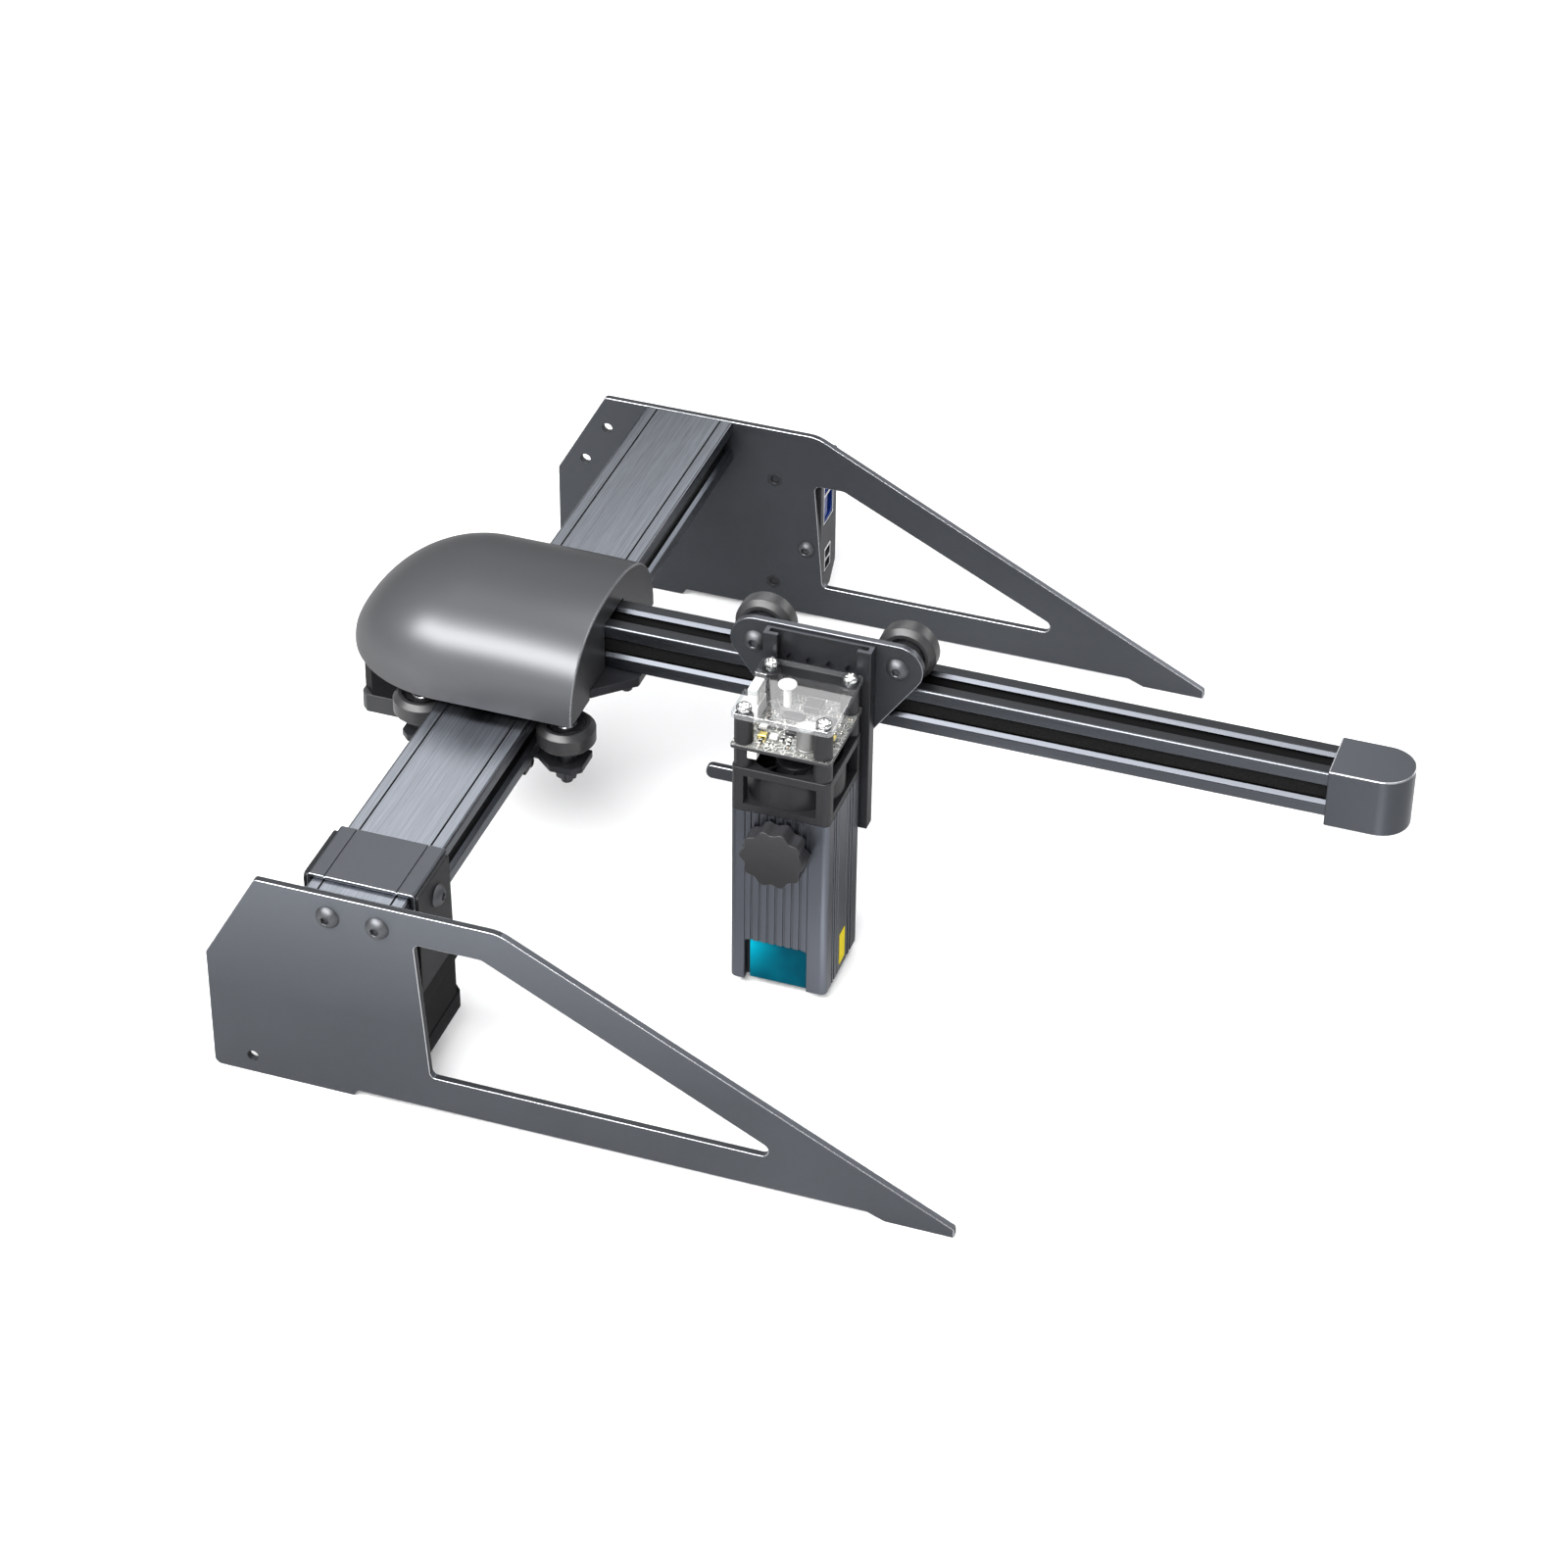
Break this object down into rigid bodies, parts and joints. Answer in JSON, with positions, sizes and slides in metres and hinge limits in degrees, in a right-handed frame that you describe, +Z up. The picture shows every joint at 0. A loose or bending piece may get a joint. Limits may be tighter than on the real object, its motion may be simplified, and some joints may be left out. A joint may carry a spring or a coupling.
{
  "type": "desktop laser cutter",
  "caption": "Desktop laser cutter: a cantilever arm rides a rail between two triangular side plates and carries a finned laser module on a vertical slide.",
  "frame": {"origin": "centre of the bounding box, on the table under the feet", "axes": "+X along the arm from the covered carriage to the arm's free end, +Y from the near side plate to the far one, +Z up"},
  "size_m": [0.4296, 0.3942, 0.145],
  "materials": {
    "anodised_plate": "satin anodised, dark blue-grey, bright cut edges",
    "rail_aluminium": "brushed along its length",
    "dark_metal": "satin dark grey",
    "cover_plastic": "smooth satin grey",
    "black_plastic": "satin black",
    "wheel_polymer": "turned black acetal",
    "steel": "bright",
    "black_steel": "black oxide",
    "belt_rubber": "matt toothed belt",
    "body_aluminium": "blue-grey anodised, finned",
    "shield_acrylic": "translucent teal",
    "clear_acrylic": "clear acrylic",
    "circuit_board": "lacquered board",
    "motor_black": "satin black"
  },
  "bodies": {
    "frame": {"near_side_plate": "anodised_plate", "far_side_plate": "anodised_plate", "y_rail": "rail_aluminium", "near_plate_screw_left": "black_steel", "near_plate_screw_right": "black_steel", "far_plate_screw_left": "black_steel", "far_plate_screw_right": "black_steel", "controller_screw": "black_steel", "sleeve_screw": "black_steel", "rail_end_sleeve": "dark_metal", "motor_bracket": "dark_metal", "y_motor": "motor_black", "y_belt": "belt_rubber", "y_idler_bracket": "dark_metal", "controller_box": "dark_metal", "controller_board": "circuit_board", "usb_port": "steel", "power_jack": "steel"},
    "carriage": {"x_arm": "anodised_plate", "carriage_cover": "cover_plastic", "carriage_plate": "dark_metal", "rail_wheel_axle_1": "black_steel", "rail_wheel_axle_2": "black_steel", "rail_wheel_axle_3": "black_steel", "rail_wheel_axle_4": "black_steel", "lower_bar_near": "dark_metal", "lower_bar_far": "dark_metal", "belt_clamp": "dark_metal", "x_motor": "motor_black", "x_belt": "belt_rubber", "arm_end_cap": "anodised_plate"},
    "laser_carriage": {"wheel_plate": "dark_metal", "slide_channel": "black_plastic", "arm_wheel_axle_1": "black_steel", "arm_wheel_axle_2": "black_steel", "arm_wheel_axle_3": "black_steel"},
    "laser_module": {"laser_body": "body_aluminium", "lens_barrel": "black_plastic", "beam_shield": "shield_acrylic", "fan_frame": "black_plastic", "driver_board": "circuit_board", "acrylic_cover": "clear_acrylic", "module_post_1": "black_plastic", "module_post_2": "black_plastic", "module_post_3": "black_plastic", "module_post_4": "black_plastic", "side_bar": "dark_metal"},
    "clamp_knob_body": {"clamp_knob": "black_plastic"},
    "fan_rotor_body": {"fan_rotor": "black_plastic"},
    "y_drive_pulley_body": {"y_drive_pulley": "steel"},
    "y_idler_pulley_body": {"y_idler_pulley": "steel"},
    "x_drive_pulley_body": {"x_drive_pulley": "steel"},
    "x_idler_pulley_body": {"x_idler_pulley": "steel"},
    "rail_wheel_1_body": {"rail_wheel_1": "wheel_polymer"},
    "rail_wheel_2_body": {"rail_wheel_2": "wheel_polymer"},
    "rail_wheel_3_body": {"rail_wheel_3": "wheel_polymer"},
    "rail_wheel_4_body": {"rail_wheel_4": "wheel_polymer"},
    "arm_wheel_1_body": {"arm_wheel_1": "wheel_polymer"},
    "arm_wheel_2_body": {"arm_wheel_2": "wheel_polymer"},
    "arm_wheel_3_body": {"arm_wheel_3": "wheel_polymer"}
  },
  "joints": [
    {"name": "y_slide", "type": "slide", "parent": "frame", "child": "carriage", "axis": [0, 1, 0], "range_m": [-0.087, 0.13]},
    {"name": "x_slide", "type": "slide", "parent": "carriage", "child": "laser_carriage", "axis": [1, 0, 0], "range_m": [-0.043, 0.157]},
    {"name": "z_slide", "type": "slide", "parent": "laser_carriage", "child": "laser_module", "axis": [0, 0, 1], "range_m": [-0.003, 0.04]},
    {"name": "clamp_knob_turn", "type": "hinge", "parent": "laser_module", "child": "clamp_knob_body", "pos_m": [-0.017, -0.08438, 0.07225], "axis": [0, 1, 0], "range_deg": [-540, 0]},
    {"name": "fan_spin", "type": "hinge", "parent": "laser_module", "child": "fan_rotor_body", "pos_m": [-0.017, -0.06112, 0.0965], "axis": [0, 0, 1], "continuous": true},
    {"name": "rail_wheel_1_roll", "type": "hinge", "parent": "carriage", "child": "rail_wheel_1_body", "pos_m": [-0.17625, -0.05412, 0.085], "axis": [0, 0, 1], "continuous": true},
    {"name": "rail_wheel_2_roll", "type": "hinge", "parent": "carriage", "child": "rail_wheel_2_body", "pos_m": [-0.17625, 0.01287, 0.085], "axis": [0, 0, 1], "continuous": true},
    {"name": "rail_wheel_3_roll", "type": "hinge", "parent": "carriage", "child": "rail_wheel_3_body", "pos_m": [-0.11525, -0.05412, 0.085], "axis": [0, 0, 1], "continuous": true},
    {"name": "rail_wheel_4_roll", "type": "hinge", "parent": "carriage", "child": "rail_wheel_4_body", "pos_m": [-0.11525, 0.01287, 0.085], "axis": [0, 0, 1], "continuous": true},
    {"name": "arm_wheel_1_roll", "type": "hinge", "parent": "laser_carriage", "child": "arm_wheel_1_body", "pos_m": [-0.0435, -0.02063, 0.133], "axis": [0, 1, 0], "continuous": true},
    {"name": "arm_wheel_2_roll", "type": "hinge", "parent": "laser_carriage", "child": "arm_wheel_2_body", "pos_m": [0.0145, -0.02063, 0.133], "axis": [0, 1, 0], "continuous": true},
    {"name": "arm_wheel_3_roll", "type": "hinge", "parent": "laser_carriage", "child": "arm_wheel_3_body", "pos_m": [-0.0145, -0.02063, 0.092], "axis": [0, 1, 0], "continuous": true},
    {"name": "y_drive_pulley_turn", "type": "hinge", "parent": "frame", "child": "y_drive_pulley_body", "pos_m": [-0.14425, -0.16737, 0.064], "axis": [0, 0, 1], "continuous": true},
    {"name": "y_idler_pulley_turn", "type": "hinge", "parent": "frame", "child": "y_idler_pulley_body", "pos_m": [-0.14425, 0.15762, 0.064], "axis": [0, 0, 1], "continuous": true},
    {"name": "x_drive_pulley_turn", "type": "hinge", "parent": "carriage", "child": "x_drive_pulley_body", "pos_m": [-0.18875, -0.02063, 0.1125], "axis": [0, 0, 1], "continuous": true},
    {"name": "x_idler_pulley_turn", "type": "hinge", "parent": "carriage", "child": "x_idler_pulley_body", "pos_m": [0.19875, -0.02063, 0.1125], "axis": [0, 0, 1], "continuous": true}
  ],
  "couplings": [
    {"joint": "rail_wheel_1_roll", "follows": "y_slide", "rad_per_m": -90.909},
    {"joint": "rail_wheel_2_roll", "follows": "y_slide", "rad_per_m": -90.909},
    {"joint": "rail_wheel_3_roll", "follows": "y_slide", "rad_per_m": 90.909},
    {"joint": "rail_wheel_4_roll", "follows": "y_slide", "rad_per_m": 90.909},
    {"joint": "arm_wheel_1_roll", "follows": "x_slide", "rad_per_m": 90.909},
    {"joint": "arm_wheel_2_roll", "follows": "x_slide", "rad_per_m": 90.909},
    {"joint": "arm_wheel_3_roll", "follows": "x_slide", "rad_per_m": -90.909},
    {"joint": "y_drive_pulley_turn", "follows": "y_slide", "rad_per_m": 142.86},
    {"joint": "y_idler_pulley_turn", "follows": "y_slide", "rad_per_m": 142.86},
    {"joint": "x_drive_pulley_turn", "follows": "x_slide", "rad_per_m": 142.86},
    {"joint": "x_idler_pulley_turn", "follows": "x_slide", "rad_per_m": 142.86}
  ]
}
